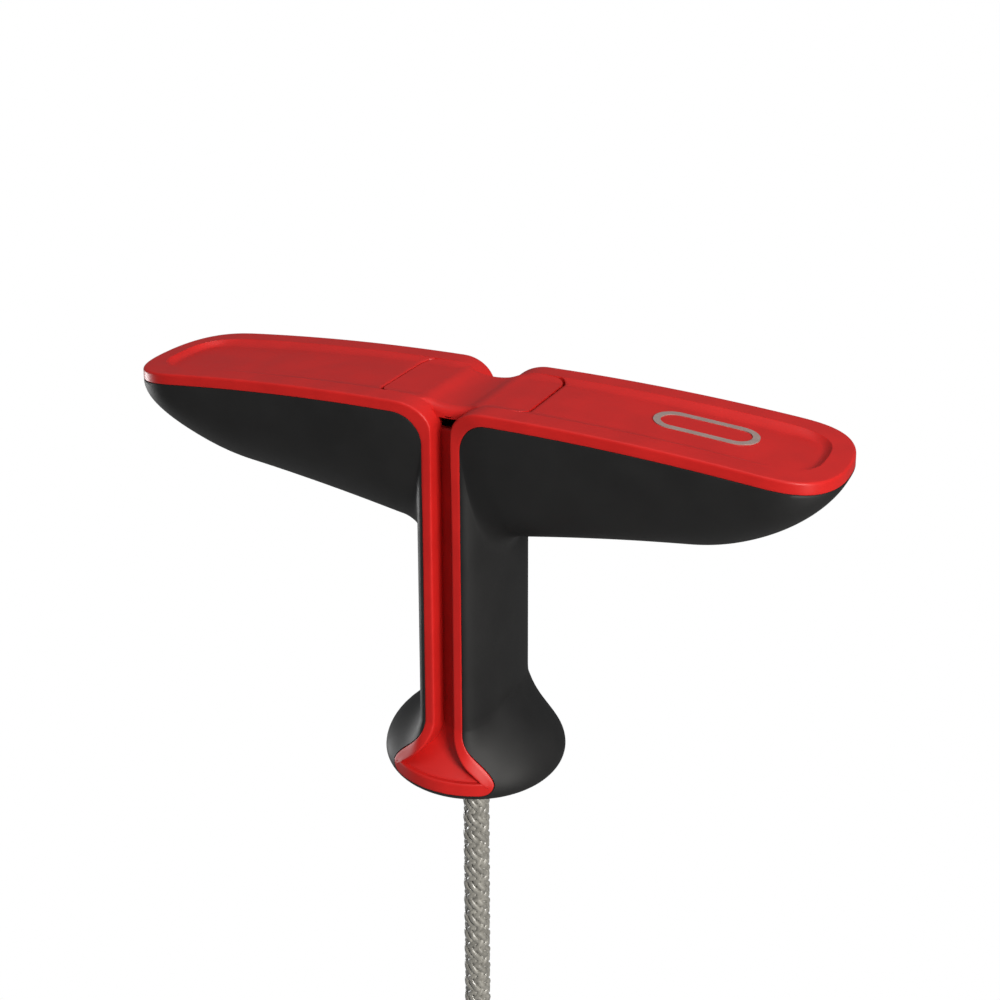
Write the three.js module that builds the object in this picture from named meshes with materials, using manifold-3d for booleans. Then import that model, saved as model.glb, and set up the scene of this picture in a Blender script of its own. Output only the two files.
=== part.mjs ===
// T-grip pull handle on a braided rope. Millimetres, +Z up.
// The bar runs along X, the rope leaves along -Z, and the part is the same at the front (-Y) and back (+Y).
// Heights are measured from the crown of the bar; the group is then lifted so that the origin lies on
// the rope axis in the middle of the bar, where a hand holds it.
import * as THREE from "three";
import { mergeVertices } from "three/addons/utils/BufferGeometryUtils.js";
import Module from "manifold-3d";

const wasm = await Module();
wasm.setup();

// ---- driving dimensions -------------------------------------------------------------------------
const HALF_SPAN = 60; // bar, centre to tip
const HALF_DEPTH = 12.4; // bar, centre to front edge
const END_START = 47; // where the outline begins to round off toward the tip
const END_POWER = 3.2; // how square the tip is
const SIDE_POWER = 2.35;
const LEVEL_HALF = 8.6; // the crown is level this far out
const DROOP = 3.1; // and the tips sit this much lower
const PLATE = 1.85; // height of the red side wall
const GAP = 0.3; // clearance between mouldings
const CROWN_HEIGHT = 10; // crown above the origin

const KEEL_AT_CENTRE = 23.2; // depth of the grip under the plate
const KEEL_TAPER = 0.2; // lost per millimetre outward
const KEEL_TIP_START = 38; // where the underside starts to sweep up to the tip
const KEEL_TIP_POWER = 2.2; // how late the sweep bends up
const KEEL_TIP_ROUND = 0.75; // how round it ends
const KEEL_POWER = 2.5; // fullness of the underside section
const CROTCH_RADIUS = 5; // underside to stem

const BAND_HALF = 3.3; // red band down the stem
const STEM_HALF_DEPTH = 11.6;
const STEM_HALF_WIDTH = 6.5;
const STEM_POWER = 2.1;
const SHOULDER_X = 8.1; // where the plate starts to turn down
const SHOULDER_Z = -6.95; // where the turned edge runs straight down
const SHOULDER_TOP = -1.8; // level end of the turned edge, just inside the plate
const FLARE_TOP = -53;
const BELL_RADIUS = 15;
const BELL_WIDEST = -63.2;
const BELL_EDGE_RADIUS = 2.2;
const BELL_FOOT = BELL_WIDEST - BELL_EDGE_RADIUS;
const GRIP_FOOT = -63.6;
const FAN_HALF = 9.4; // red fan on the bell
const FAN_TOP = -53.5; // where the band starts to spread
const FAN_SPREAD = 9; // height over which it spreads
const FAN_CORNER_TOP = -62.4; // its sides pull in a little below this
const STRAIGHT_BELOW_CROTCH = 6; // the grips run straight down this far before the bell

const LIP = 1.63; // width of the raised lips
const LIP_TOP_X = 7.7; // inner edge of the shoulder, level end
const LIP_TOP_Z = -4.4; // inner edge of the shoulder, upright end
const GROOVE_FLOOR_Y = 8.1;
const RIM_INNER_Y = 8.6; // inside edge of the raised rim
const RECESS_START = 46; // where the recess begins to round off toward the tip
const RECESS_END = 56.6;
const RECESS_WALL = 1.3;

const COVER_HALF = 12.75;
const COVER_CORNER = 2.5;
const COVER_DIP = 1.25; // depth of the saddle in the middle of the cover
const DIP_HALF = 7;
const SEAT_Z = -2.9;
const POCKET_FLOOR = -16.5;
const TRAY = { halfX: 13.9, halfY: 9.7, radius: 4, foot: -4.2 }; // block under the cover's seat
const CUP = { halfX: 10.2, halfY: 8.5, radius: 6, foot: -18 }; // block round the knot pocket
const POCKET = { halfX: 8.8, halfY: 7.1, radius: 5.5 };
const CORE_RADIUS = 4.4; // round core inside the lower stem
const TONGUE = { inner: 7.1, outer: 8.3, half: 3, foot: -7 }; // snap tongues of the cover
const WASHER_TOP = POCKET_FLOOR + 1.3;
const WASHER_RADIUS = 5.4;
const ROPE_RADIUS = 2.15;
const CHANNEL_RADIUS = 2.7;
const ROPE_EXIT = BELL_FOOT - 0.3; // where the rope leaves the bell
const ROPE_END = -122; // far end of the straight rope
const KNOT_RADIUS = 2; // a drawn-tight knot squeezes the rope

const RED = new THREE.MeshStandardMaterial({ color: 0xc0231f, roughness: 0.35 });
const BLACK = new THREE.MeshStandardMaterial({ color: 0x1b1b1b, roughness: 0.6 });
const CORD = new THREE.MeshStandardMaterial({ color: 0xb9b4aa, roughness: 0.9 });
const STEEL = new THREE.MeshStandardMaterial({ color: 0xb0b2b5, metalness: 1, roughness: 0.3 });
const GREY = new THREE.MeshStandardMaterial({ color: 0x9c9a96, roughness: 0.5 });

// ---- solids -------------------------------------------------------------------------------------
const clamp = (v, a, b) => Math.min(Math.max(v, a), b);
const lerp = (a, b, t) => a + (b - a) * t;
const smooth = (t) => t * t * (3 - 2 * t);
const steps = (a, b, n) => Array.from({ length: n + 1 }, (_, i) => lerp(a, b, i / n));

// A three.js geometry as a solid, faces out.
function solid(geometry) {
  const bare = geometry.clone();
  bare.deleteAttribute("normal");
  bare.deleteAttribute("uv");
  const merged = mergeVertices(bare, 1e-4);
  const make = (triVerts) =>
    new wasm.Manifold(
      new wasm.Mesh({ numProp: 3, vertProperties: merged.attributes.position.array, triVerts }),
    );
  const triangles = new Uint32Array(merged.index.array);
  const made = make(triangles);
  if (made.volume() > 0) return made;
  for (let i = 0; i < triangles.length; i += 3)
    [triangles[i + 1], triangles[i + 2]] = [triangles[i + 2], triangles[i + 1]];
  return make(triangles);
}

// A closed skin through a row of rings that all have the same number of points.
function loft(rings) {
  const n = rings[0].length;
  const points = rings.flat();
  const triangles = [];
  for (let k = 0; k + 1 < rings.length; k++)
    for (let i = 0; i < n; i++) {
      const j = (i + 1) % n;
      triangles.push(k * n + i, k * n + j, (k + 1) * n + j);
      triangles.push(k * n + i, (k + 1) * n + j, (k + 1) * n + i);
    }
  [0, rings.length - 1].forEach((k) => {
    const middle = [0, 1, 2].map((c) => rings[k].reduce((sum, p) => sum + p[c], 0) / n);
    const m = points.push(middle) - 1;
    for (let i = 0; i < n; i++) {
      const [a, b] = [k * n + i, k * n + ((i + 1) % n)];
      if (k === 0) triangles.push(m, b, a);
      else triangles.push(m, a, b);
    }
  });
  const geometry = new THREE.BufferGeometry();
  geometry.setAttribute("position", new THREE.Float32BufferAttribute(points.flat(), 3));
  geometry.setIndex(triangles);
  return solid(geometry);
}

const shapeOf = (outline) => new THREE.Shape(outline.map(([x, y]) => new THREE.Vector2(x, y)));

// A prism standing on a flat outline in X and Y, with any holes given as outlines too.
function prism(outline, low, high, holes = []) {
  const shape = shapeOf(outline);
  shape.holes = holes.map(shapeOf);
  const geometry = new THREE.ExtrudeGeometry(shape, { depth: high - low, bevelEnabled: false });
  return solid(geometry.translate(0, 0, low));
}

// A rounded rectangle about the rope axis.
function roundedRectangle(halfX, halfY, radius, perCorner = 6) {
  const corners = [[1, 1], [-1, 1], [-1, -1], [1, -1]];
  return corners.flatMap(([sx, sy], i) =>
    steps(i * 90, i * 90 + 90, perCorner).map((degrees) => {
      const a = THREE.MathUtils.degToRad(degrees);
      return [
        sx * (halfX - radius) + radius * Math.cos(a),
        sy * (halfY - radius) + radius * Math.sin(a),
      ];
    }),
  );
}

const rod = (radius, low, high, n = 24) =>
  solid(
    new THREE.CylinderGeometry(radius, radius, high - low, n)
      .rotateX(Math.PI / 2)
      .translate(0, 0, (low + high) / 2),
  );

const box = (x0, x1, y0, y1, z0, z1) =>
  solid(
    new THREE.BoxGeometry(x1 - x0, y1 - y0, z1 - z0).translate(
      (x0 + x1) / 2,
      (y0 + y1) / 2,
      (z0 + z1) / 2,
    ),
  );

// A ring turned about the rope axis from a closed profile of radius and height.
function turned(profile, n) {
  const closed = [...profile, profile[0]].map(([r, z]) => new THREE.Vector2(r, z));
  return solid(new THREE.LatheGeometry(closed, n).rotateX(Math.PI / 2));
}

// A round tube along a curve given by its points.
function tube(points, radius, sides) {
  const circle = new THREE.Shape().absarc(0, 0, radius, 0, 2 * Math.PI);
  return solid(
    new THREE.ExtrudeGeometry(shapeOf(circle.getPoints(sides).map((p) => [p.x, p.y])), {
      steps: points.length * 2,
      extrudePath: new THREE.CatmullRomCurve3(points.map((p) => new THREE.Vector3(...p))),
      bevelEnabled: false,
    }),
  );
}

const union = (...parts) => parts.reduce((a, b) => a.add(b));
const cut = (from, ...tools) => tools.reduce((a, b) => a.subtract(b), from);
const mirrorX = (s) => s.mirror([1, 0, 0]);
const mirrorY = (s) => s.mirror([0, 1, 0]);

// ---- the outer form -----------------------------------------------------------------------------
// Front edge of the bar in plan.
function halfDepth(x) {
  const t = clamp((Math.abs(x) - END_START) / (HALF_SPAN - END_START), 0, 1);
  return HALF_DEPTH * (1 - t ** END_POWER) ** (1 / SIDE_POWER);
}

function crown(x) {
  const out = Math.max(0, Math.abs(x) - LEVEL_HALF) / (HALF_SPAN - LEVEL_HALF);
  return -DROOP * out ** 2;
}

function keelDepth(x) {
  const t = clamp((x - KEEL_TIP_START) / (HALF_SPAN - KEEL_TIP_START), 0, 1);
  return (KEEL_AT_CENTRE - KEEL_TAPER * x) * (1 - t ** KEEL_TIP_POWER) ** KEEL_TIP_ROUND;
}

const keelZ = (x) => crown(x) - PLATE - keelDepth(x);

// Width of the stem section in the direction of an angle from +X, without the flare.
function stemRadius(angle) {
  const a = Math.abs(Math.atan2(Math.sin(angle), Math.abs(Math.cos(angle))));
  if (Math.tan(a) > STEM_HALF_DEPTH / BAND_HALF) return STEM_HALF_DEPTH / Math.sin(a);
  let [low, high] = [0, Math.PI / 2];
  for (let i = 0; i < 40; i++) {
    const t = (low + high) / 2;
    const [x, y] = stemQuarter(t);
    if (Math.atan2(y, x) > a) low = t;
    else high = t;
  }
  return Math.hypot(...stemQuarter(low));
}

// A quarter of the stem section, from the edge of the red band (t = 0) to the side (t = 90 degrees).
function stemQuarter(t) {
  return [
    BAND_HALF + (STEM_HALF_WIDTH - BAND_HALF) * Math.sin(t) ** (2 / STEM_POWER),
    STEM_HALF_DEPTH * Math.cos(t) ** (2 / STEM_POWER),
  ];
}

// The stem opens into a round bell.
function skinRadius(z, angle) {
  const t = clamp((FLARE_TOP - z) / (FLARE_TOP - BELL_WIDEST), 0, 1);
  const flare = (1 - Math.cos(Math.PI * t)) / 2;
  const edge = Math.max(0, BELL_WIDEST - z);
  const pulledIn = BELL_EDGE_RADIUS - Math.sqrt(Math.max(0, BELL_EDGE_RADIUS ** 2 - edge ** 2));
  return lerp(stemRadius(angle), BELL_RADIUS, flare) - pulledIn;
}

// Half width of the red band: straight down the stem, then a fan on the bell.
function bandHalf(z) {
  if (z > SHOULDER_Z) {
    const rise = clamp((z - SHOULDER_Z) / (SHOULDER_TOP - SHOULDER_Z), 0, 1);
    return BAND_HALF + (SHOULDER_X - BAND_HALF) * (1 - Math.sqrt(1 - rise ** 2));
  }
  const t = clamp((FAN_TOP - z) / FAN_SPREAD, 0, 1);
  const tuck = 0.6 * (Math.max(0, FAN_CORNER_TOP - z) / (FAN_CORNER_TOP - GRIP_FOOT)) ** 2;
  return BAND_HALF + (FAN_HALF - BAND_HALF) * smooth(t ** 1.35) - tuck;
}

// Angle from +X at which the skin is the given distance from the middle plane.
function edgeAngle(z, x) {
  let [low, high] = [0, Math.PI / 2];
  for (let i = 0; i < 40; i++) {
    const a = (low + high) / 2;
    if (skinRadius(z, a) * Math.cos(a) > x) low = a;
    else high = a;
  }
  return low;
}

// ---- black grips --------------------------------------------------------------------------------
// Each section is a bowed curve from the front edge of the red frame round to the back edge.
const AROUND = 22;

function bowedSection(edge, keel, depth, power) {
  return steps(0, Math.PI, AROUND).map((t) => {
    const g = Math.sign(Math.cos(t)) * Math.abs(Math.cos(t)) ** (2 / power);
    const f = Math.max(0, Math.sin(t)) ** (2 / power);
    return [lerp(edge[0], keel[0], f), -depth * g, lerp(edge[1], keel[1], f)];
  });
}

function bellSection(z) {
  const edge = edgeAngle(z, bandHalf(z) + GAP);
  const full = Math.atan2(STEM_HALF_DEPTH, BAND_HALF);
  return steps(0, Math.PI, AROUND).map((t) => {
    const [x, y] = stemQuarter(Math.min(t, Math.PI - t));
    const angle = Math.sign(t - Math.PI / 2 || 1) * Math.atan2(Math.max(y, 0), x) * (edge / full);
    const r = skinRadius(z, angle);
    return [r * Math.cos(angle), r * Math.sin(angle), z];
  });
}

function gripSolid() {
  const rings = [];
  // Along the bar, tip first.
  [59.85, 59.5, 59, 58, 57, 55.5, 54, 52, 50, 47.5, 45, 42, 39, 35, 31, 27, 23, 19, 15].forEach((x) =>
    rings.push(
      bowedSection([x, crown(x) - PLATE - GAP], [x, keelZ(x)], halfDepth(x), KEEL_POWER),
    ),
  );
  // Round the shoulder above and the crotch below.
  const start = Math.atan(KEEL_TAPER);
  const centreX = STEM_HALF_WIDTH + CROTCH_RADIUS;
  const centreZ = keelZ(centreX - CROTCH_RADIUS * Math.sin(start)) - CROTCH_RADIUS * Math.cos(start);
  steps(0, 1, 9).forEach((t) => {
    const a = (t * Math.PI) / 2;
    const b = lerp(start, Math.PI / 2, t);
    const edge = [
      SHOULDER_X + GAP - (SHOULDER_X - BAND_HALF) * Math.sin(a),
      SHOULDER_Z - GAP + (-PLATE - SHOULDER_Z) * Math.cos(a),
    ];
    const keel = [centreX - CROTCH_RADIUS * Math.sin(b), centreZ + CROTCH_RADIUS * Math.cos(b)];
    rings.push(
      bowedSection(
        edge,
        keel,
        lerp(HALF_DEPTH, STEM_HALF_DEPTH, smooth(t)),
        lerp(KEEL_POWER, STEM_POWER, t),
      ),
    );
  });
  const straightEnd = centreZ - STRAIGHT_BELOW_CROTCH;
  steps(0, 1, 3)
    .slice(1)
    .forEach((t) =>
      rings.push(
        bowedSection(
          [BAND_HALF + GAP, lerp(SHOULDER_Z - GAP, straightEnd, t)],
          [STEM_HALF_WIDTH, lerp(centreZ, straightEnd, t)],
          STEM_HALF_DEPTH,
          STEM_POWER,
        ),
      ),
    );
  rings.push(bellSection(-44), bellSection(-50));
  steps(FLARE_TOP, BELL_WIDEST, 11).forEach((z) => rings.push(bellSection(z)));
  rings.push(bellSection(GRIP_FOOT));
  return loft(rings);
}

// ---- red frame ----------------------------------------------------------------------------------
function plateSolid() {
  const xs = [59.97, 59.7, 59.2, 58.5, 57.5, 56, 54, 52, 50, 47, 43, 38, 33, 28, 23, 18, 13, LEVEL_HALF];
  const CHAMFER = 0.4;
  return loft(
    [...xs.map((x) => -x), ...xs.toReversed()].map((x) => {
      const w = halfDepth(x);
      const top = crown(x);
      const c = Math.min(CHAMFER, w / 3);
      return [
        [x, -w, top - PLATE],
        [x, w, top - PLATE],
        [x, w, top - c],
        [x, w - c, top],
        [x, -(w - c), top],
        [x, -w, top - c],
      ];
    }),
  );
}

function stemBlock() {
  const FRONT = 8;
  const shoulder = steps(0, Math.PI / 2, 8).map(
    (a) => SHOULDER_Z + (SHOULDER_TOP - SHOULDER_Z) * Math.cos(a),
  );
  const flare = [...steps(FLARE_TOP, FAN_CORNER_TOP, 10), -63, GRIP_FOOT];
  const heights = [-1, ...shoulder, -30, -50, ...flare];
  return loft(
    heights.map((z) => {
      const half = bandHalf(z);
      if (z >= SHOULDER_Z) {
        const rise = clamp((z - SHOULDER_Z) / (SHOULDER_TOP - SHOULDER_Z), 0, 1);
        const depth = lerp(STEM_HALF_DEPTH, HALF_DEPTH - 0.03, smooth(rise));
        const front = steps(-half, half, FRONT).map((x) => [x, -depth, z]);
        return [...front, ...front.map(([x, y]) => [-x, -y, z])];
      }
      const edge = edgeAngle(z, half);
      const front = steps(edge, Math.PI - edge, FRONT).map((a) => {
        const r = skinRadius(z, a);
        return [-r * Math.cos(a), -r * Math.sin(a), z];
      });
      return [...front, ...front.map(([x, y]) => [-x, -y, z])];
    }),
  );
}

// The hollow between the shoulders and the groove below it, out through the front of the frame.
function grooveCutter() {
  const BOTTOM = -54;
  const inner = steps(0, Math.PI / 2, 8).map((a) => [
    LIP_TOP_X - (LIP_TOP_X - (BAND_HALF - LIP)) * Math.sin(a),
    LIP_TOP_Z * (1 - Math.cos(a)),
  ]);
  const right = [[LIP_TOP_X, 3], ...inner, [BAND_HALF - LIP, BOTTOM]];
  const outline = [...right, ...right.toReversed().map(([x, z]) => [-x, z])];
  return loft([-20, -GROOVE_FLOOR_Y].map((y) => outline.map(([x, z]) => [x, y, z])));
}

// The groove opens into a recessed fan that ends in a lip along the foot of the bell.
function fanCutter() {
  const TOP = -52.5;
  const END = -61.9;
  return loft(
    steps(TOP, END, 10).map((z) => {
      const t = (TOP - z) / (TOP - END);
      const half = bandHalf(z) - LIP + 0.04 * (1 - t);
      const floor = -skinRadius(z, Math.PI / 2) + lerp(STEM_HALF_DEPTH - GROOVE_FLOOR_Y + 0.05, 0.9, t);
      return [
        [-half, floor, z],
        [half, floor, z],
        [half, -20, z],
        [-half, -20, z],
      ];
    }),
  );
}

const recessDepth = (x) => lerp(0.45, 0.85, clamp((x - COVER_HALF) / 36, 0, 1));
const panelZ = (x) => crown(x) - recessDepth(Math.abs(x));

// Sunken panel in the top of a wing, with sloping sides.
function recessCutter() {
  const HEADROOM = 1.5;
  const floorEnd = RECESS_END - RECESS_WALL;
  const width = (x, end, half) => {
    const t = clamp((x - RECESS_START) / (end - RECESS_START), 0, 1);
    return half * (1 - t ** END_POWER) ** (1 / SIDE_POWER);
  };
  const along = [COVER_HALF - 0.5, 20, 28, 36, 42, 46, 48, 50, 51.5, 52.7, 53.6, 54.3, 54.8, 55.1];
  return loft(
    [...along, floorEnd, 55.7, 56.1, 56.4, 56.7].map((x) => {
      const depth = recessDepth(x);
      const rise = Math.max(0, x - floorEnd) / RECESS_WALL;
      const floor = panelZ(x) + rise * depth;
      const low = Math.max(0.3, width(x, floorEnd, RIM_INNER_Y - RECESS_WALL));
      const level = Math.max(0.6, width(x, RECESS_END, RIM_INNER_Y));
      const high = level + ((level - low) * HEADROOM) / depth;
      return [
        [x, -low, floor],
        [x, low, floor],
        [x, high, crown(x) + HEADROOM],
        [x, -high, crown(x) + HEADROOM],
      ];
    }),
  );
}

// A plain capsule outline set into the panel of one wing.
const MARK = { x: 38, y: 1.2, halfLength: 8.2, radius: 3.4, stroke: 1.1 };

function capsule(halfLength, radius) {
  return roundedRectangle(halfLength, radius, radius - 0.01, 9);
}

// It lies square to the panel, which slopes a little outward.
function markSolid(grow, low, high) {
  const slope = Math.atan2(panelZ(MARK.x + 1) - panelZ(MARK.x - 1), 2);
  const hole = capsule(MARK.halfLength - MARK.stroke - grow, MARK.radius - MARK.stroke - grow);
  return prism(capsule(MARK.halfLength + grow, MARK.radius + grow), low, high, [hole])
    .rotate([0, -THREE.MathUtils.radToDeg(slope), 0])
    .translate([MARK.x, MARK.y, panelZ(MARK.x)]);
}

// ---- knot cover ---------------------------------------------------------------------------------
const COVER_LEVEL = -recessDepth(COVER_HALF);

function coverTop(x) {
  const dip = (1 + Math.cos((Math.PI * clamp(Math.abs(x), 0, DIP_HALF)) / DIP_HALF)) / 2;
  return COVER_LEVEL - (COVER_DIP + COVER_LEVEL) * dip;
}

function coverSolid() {
  const CLEAR = 0.2;
  const half = COVER_HALF - CLEAR;
  const side = RIM_INNER_Y - CLEAR;
  const under = SEAT_Z + GAP;
  const width = (x) => {
    const past = Math.max(0, Math.abs(x) - (half - COVER_CORNER));
    return side - COVER_CORNER + Math.sqrt(COVER_CORNER ** 2 - past ** 2);
  };
  const right = [12.55, 12.5, 12.3, 11.9, 11.3, 10.6, 9.8, 8.4, 7, 6, 5, 4, 3, 2, 1];
  const lid = loft(
    [...right.map((x) => -x), 0, ...right.toReversed()].map((x) => [
      [x, -width(x), under],
      [x, width(x), under],
      [x, width(x), coverTop(x) - 0.25],
      [x, width(x) - 0.25, coverTop(x)],
      [x, -(width(x) - 0.25), coverTop(x)],
      [x, -width(x), coverTop(x) - 0.25],
    ]),
  );
  const tongue = box(TONGUE.inner, TONGUE.outer, -TONGUE.half, TONGUE.half, TONGUE.foot, under + 0.5);
  return union(lid, tongue, mirrorX(tongue));
}

// ---- rope and knots -----------------------------------------------------------------------------
// A barrel knot: the rope turns back at the top and winds down round itself.
function barrelKnot(foot, turns, tail) {
  const around = 2 * KNOT_RADIUS + 0.35;
  const top = foot + (turns + 0.5) * around;
  const rise = steps(foot, top, 3).map((z) => [0, 0, z]);
  const over = [
    [around * 0.18, 0, top + 1.6],
    [around * 0.6, 0.1, top + 2.3],
    [around * 0.97, 0.6, top + 1.3],
  ];
  const wound = steps(0.08, turns, Math.round(turns * 10)).map((t) => {
    const a = t * 2 * Math.PI;
    return [around * Math.cos(a), around * Math.sin(a), top - t * around];
  });
  const last = wound.at(-1);
  const end = [last[0] * tail, last[1] * tail, last[2] - 0.4];
  return tube([...rise, ...over, ...wound, end], KNOT_RADIUS, 10);
}

const straightRope = (low, high) =>
  tube(
    steps(low, high, 4).map((z) => [0, 0, z]),
    ROPE_RADIUS,
    12,
  );

// The black ring that closes the foot of the bell.
function bellCap() {
  const PLUG_RADIUS = 4.7;
  const PLUG_TOP = -60.8;
  const top = GRIP_FOOT - GAP;
  const edge = steps(Math.asin((BELL_WIDEST - top) / BELL_EDGE_RADIUS), Math.PI / 2, 6);
  return turned(
    [
      [CHANNEL_RADIUS, BELL_FOOT],
      [CHANNEL_RADIUS, PLUG_TOP],
      [PLUG_RADIUS, PLUG_TOP],
      [PLUG_RADIUS, top],
      ...edge.map((a) => [
        BELL_RADIUS - BELL_EDGE_RADIUS + BELL_EDGE_RADIUS * Math.cos(a),
        BELL_WIDEST - BELL_EDGE_RADIUS * Math.sin(a),
      ]),
    ],
    48,
  );
}

// ---- putting it together ------------------------------------------------------------------------
const block = ({ halfX, halfY, radius, foot }, grow) =>
  prism(roundedRectangle(halfX + grow, halfY + grow, radius), foot - grow, -1);
const core = (grow) => rod(CORE_RADIUS + grow, GRIP_FOOT - 1, -15, 32);

const groove = grooveCutter();
const fan = fanCutter();
const recess = recessCutter();
const ventSlot = box(-1.5, 1.5, -8.8, -6, -4.8, -1);

const frame = cut(
  union(plateSolid(), stemBlock(), block(TRAY, 0), block(CUP, 0), core(0)),
  rod(8, GRIP_FOOT - 3, GRIP_FOOT),
  groove,
  mirrorY(groove),
  fan,
  mirrorY(fan),
  recess,
  mirrorX(recess),
  prism(roundedRectangle(COVER_HALF, RIM_INNER_Y, COVER_CORNER), SEAT_Z, 4),
  prism(roundedRectangle(POCKET.halfX, POCKET.halfY, POCKET.radius), POCKET_FLOOR, 0),
  ventSlot,
  mirrorY(ventSlot),
  rod(CHANNEL_RADIUS, -70, 0),
  rod(5, -70, -60.5, 32),
  markSolid(0.12, -0.55, 2),
);
const grip = cut(gripSolid(), block(TRAY, GAP), block(CUP, GAP), core(GAP));
const washer = cut(rod(WASHER_RADIUS, POCKET_FLOOR + GAP, WASHER_TOP, 32), rod(2.6, -30, 0));
const knotFoot = WASHER_TOP + 0.4;

function node(name, shape, material) {
  const { vertProperties, triVerts } = shape.getMesh();
  const geometry = new THREE.BufferGeometry();
  geometry.setAttribute("position", new THREE.BufferAttribute(vertProperties, 3));
  geometry.setIndex(new THREE.BufferAttribute(triVerts, 1));
  geometry.computeVertexNormals();
  const mesh = new THREE.Mesh(geometry, material);
  mesh.name = name;
  return mesh;
}

const part = new THREE.Group();
part.position.z = CROWN_HEIGHT;
part.add(
  node("frame", frame, RED),
  node("grip_right", grip, BLACK),
  node("bell_cap", bellCap(), BLACK),
  node("knot_cover", coverSolid(), RED),
  node("panel_mark", markSolid(0, -0.35, 0.08), GREY),
  node("knot_washer", washer, STEEL),
  node("rope_knot", barrelKnot(knotFoot, 1.25, 1.05), CORD),
  node("rope_inside", straightRope(ROPE_EXIT, knotFoot - GAP), CORD),
  node("rope", straightRope(ROPE_END, ROPE_EXIT - GAP), CORD),
);

const gripLeft = node("grip_left", grip, BLACK);
gripLeft.scale.x = -1;
part.add(gripLeft);

const endKnot = node("rope_end_knot", barrelKnot(0, 1.6, 1.05), CORD);
endKnot.rotation.x = Math.PI;
endKnot.position.z = ROPE_END - GAP;
part.add(endKnot);

export default part;
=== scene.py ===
"""T-grip pull handle on a braided rope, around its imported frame.

Shapes are worked out in the handle's own millimetres: x along the bar, y across it with the front at -y,
and z = 0 on the crown of the top plate. place() turns them into the frame's metres.
"""
import math

import bmesh
import bpy
import numpy as np
from mathutils import Matrix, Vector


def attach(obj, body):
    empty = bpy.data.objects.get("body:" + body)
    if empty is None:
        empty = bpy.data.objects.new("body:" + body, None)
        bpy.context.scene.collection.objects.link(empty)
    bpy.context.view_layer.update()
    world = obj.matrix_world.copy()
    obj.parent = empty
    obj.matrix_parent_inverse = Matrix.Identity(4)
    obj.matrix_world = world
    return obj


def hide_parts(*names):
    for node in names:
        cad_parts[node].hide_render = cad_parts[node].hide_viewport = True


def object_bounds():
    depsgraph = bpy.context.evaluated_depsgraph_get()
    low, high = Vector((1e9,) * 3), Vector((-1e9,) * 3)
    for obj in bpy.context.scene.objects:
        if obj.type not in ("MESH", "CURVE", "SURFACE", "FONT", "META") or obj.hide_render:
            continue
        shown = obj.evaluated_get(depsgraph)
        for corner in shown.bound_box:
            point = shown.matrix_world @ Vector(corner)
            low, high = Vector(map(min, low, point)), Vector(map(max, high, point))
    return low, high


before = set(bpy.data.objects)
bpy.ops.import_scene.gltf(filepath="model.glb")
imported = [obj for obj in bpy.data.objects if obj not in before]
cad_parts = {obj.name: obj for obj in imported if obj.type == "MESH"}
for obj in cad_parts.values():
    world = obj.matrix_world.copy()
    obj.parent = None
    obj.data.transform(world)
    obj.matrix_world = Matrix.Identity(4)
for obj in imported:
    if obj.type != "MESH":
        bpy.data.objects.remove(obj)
cad_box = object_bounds()

# ---- driving dimensions, in millimetres -----------------------------------------------------------
MM = 0.001
CROWN = cad_box[1][2] / MM  # height of the crown over the origin
HALF_SPAN = 60.0
HALF_DEPTH = 12.4
END_START = 48.0
END_POWER = 3.2
SIDE_POWER = 2.35
LEVEL_HALF = 8.6
DROOP = 3.1
PLATE = 1.85

KEEL_AT_CENTRE = 23.2
KEEL_TAPER = 0.2
KEEL_TIP_START = 38.0
KEEL_TIP_POWER = 2.2
KEEL_TIP_ROUND = 0.75
KEEL_POWER = 2.5
CROTCH_RADIUS = 5.0

BAND_HALF = 3.3
STEM_HALF_DEPTH = 11.6
STEM_HALF_WIDTH = 6.5
STEM_POWER = 2.1
SHOULDER_X = 8.1
SHOULDER_Z = -6.95
FLARE_TOP = -54.2
FLARE_TOP_SIDE = -53.0
FLARE_WEIGHTS = (0.86, 0.42, 0.28)  # of t, t squared and t to the sixth: the first two less the last make 1
FLARE_SIDE_POWER = 1.12
BELL_RADIUS = 15.0
BELL_WIDEST = -63.2
BELL_EDGE_RADIUS = 2.2
BELL_FOOT = BELL_WIDEST - BELL_EDGE_RADIUS
FAN_TOP = -53.5
FAN_HALF = 9.05
FAN_SPREAD = 9.0  # height over which the sides spread
FAN_SPREAD_POWER = 1.35
FAN_FOOT = -64.0
FAN_CORNER = 1.9
FAN_FLOOR_FOOT = 14.0  # distance of its floor from the middle plane, at the foot
FAN_FLOOR_POWER = 2.2
FAN_SIDE_LIP = 0.75
FAN_SLANT = 0.5  # how far its side walls lean inward
FAN_SLANT_FADES = (3.0, 4.0)  # height over which that lean fades out at the top and at the foot
FAN_FOOT_LIP = 2.1

LIP = 1.63
LIP_TOP_X = 7.7
LIP_TOP_Z = -4.4
GROOVE_FLOOR = 8.1
GROOVE_TOP = -4.95
LIP_LEADS = -20.0  # above this height the lip's inner edge runs ahead of its outer edge
LIP_ROOT = 0.3  # the inner side of the lip ends this far under the floor
FLOOR_TUCK = 0.6  # the floor stops this far short of the band's edge, under the lip
RIM_INNER = 8.6
RECESS_START = 46.0
RECESS_END = 56.6
RECESS_SIDE_POWER = 3.0
SIDE_WALL = 3.2  # the recess slopes down gently along the sides
END_WALL = 1.7  # and steeply at the tip
WALL_STEEPENS = (48.0, 6.0)  # where along the wing the one turns into the other, and over what length
RECESS_DEPTH = (0.42, 0.85)  # beside the cover and further out
RECESS_DEEPENS = 36.0
EDGE_ROUND = 0.45  # size of the lip's rounded corner
EDGE_SHARE = 0.45  # but no more than this share of either side next to it
EDGE_TUCK = 0.16  # the outer edge of the lip is rolled in by this much
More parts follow.
